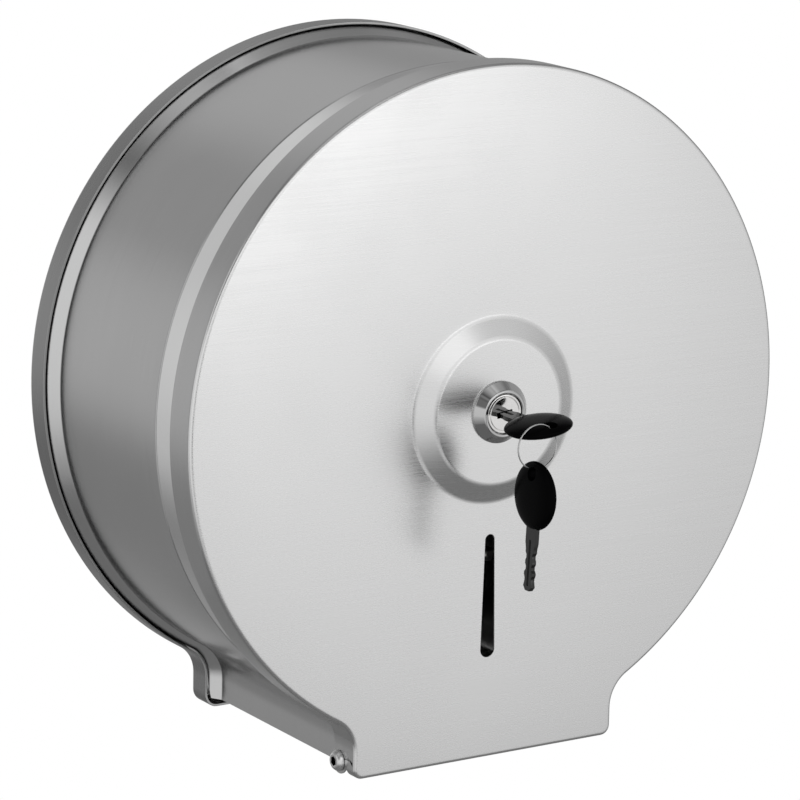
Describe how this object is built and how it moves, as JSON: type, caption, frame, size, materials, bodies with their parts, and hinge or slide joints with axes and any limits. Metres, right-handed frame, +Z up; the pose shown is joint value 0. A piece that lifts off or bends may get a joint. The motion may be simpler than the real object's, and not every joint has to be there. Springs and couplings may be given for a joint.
{
  "type": "jumbo toilet roll dispenser",
  "caption": "Wall-mounted round stainless dispenser for a jumbo toilet roll, with a hinged locking cover, sight slot, core spindle and keys.",
  "frame": {"origin": "on the drum's axis, in the plane of the wall, at the centre of the four wall screw holes", "axes": "+Z up, +X to the right seen from the front, +Y into the wall; the front faces -Y"},
  "size_m": [0.268, 0.1749, 0.274],
  "materials": {
    "stainless": "satin brushed stainless steel sheet",
    "pan_stainless": "satin stainless steel, darker back pan",
    "zinc": "zinc-plated steel",
    "chrome": "polished chrome plating",
    "nickel": "nickel-plated, lightly worn",
    "brass": "bare brass",
    "white_plastic": "moulded, matt",
    "black_plastic": "moulded, glossy black"
  },
  "bodies": {
    "dispenser_body": {"back_plate": "pan_stainless", "drum_wall": "stainless", "drum_flange": "stainless", "body_rivets": "zinc", "tear_strip_left": "stainless", "tear_strip_right": "stainless", "spindle_tube": "zinc", "spindle_rivets": "zinc", "thrust_washer": "white_plastic", "spindle_cap": "zinc", "cap_pins": "zinc", "hinge_screws": "chrome", "hinge_washers": "white_plastic", "hinge_nuts": "chrome"},
    "core_hub": {"core_hub": "white_plastic"},
    "cover": {"front_cover": "stainless", "lock_housing": "chrome", "lock_washer": "zinc", "lock_nut": "zinc"},
    "lock_plug": {"lock_plug": "nickel", "lock_cam": "zinc", "cam_screw": "zinc", "lock_wafers": "brass"},
    "key": {"key_blade": "nickel", "key_bow": "black_plastic"},
    "key_ring": {"key_ring": "chrome"},
    "spare_key": {"spare_key_blade": "nickel", "spare_key_bow": "black_plastic"}
  },
  "joints": [
    {"name": "cover_swing", "type": "hinge", "parent": "dispenser_body", "child": "cover", "pos_m": [0, -0.1118, -0.1333], "axis": [1, 0, 0], "range_deg": [0, 110]},
    {"name": "hub_spin", "type": "hinge", "parent": "dispenser_body", "child": "core_hub", "pos_m": [0, -0.05, 0], "axis": [0, 1, 0], "continuous": true},
    {"name": "key_turn", "type": "hinge", "parent": "cover", "child": "lock_plug", "pos_m": [0, -0.127, 0], "axis": [0, 1, 0], "range_deg": [0, 90]},
    {"name": "key_pull", "type": "slide", "parent": "lock_plug", "child": "key", "axis": [0, -1, 0], "range_m": [0, 0.03]},
    {"name": "ring_swing", "type": "hinge", "parent": "key", "child": "key_ring", "pos_m": [-0.0059, -0.1619, 0.0008], "axis": [1, 0, 0], "range_deg": [-15, 15]},
    {"name": "spare_key_swing", "type": "hinge", "parent": "key_ring", "child": "spare_key", "pos_m": [-0.0059, -0.1619, -0.0141], "axis": [1, 0, 0], "range_deg": [-25, 25]}
  ]
}
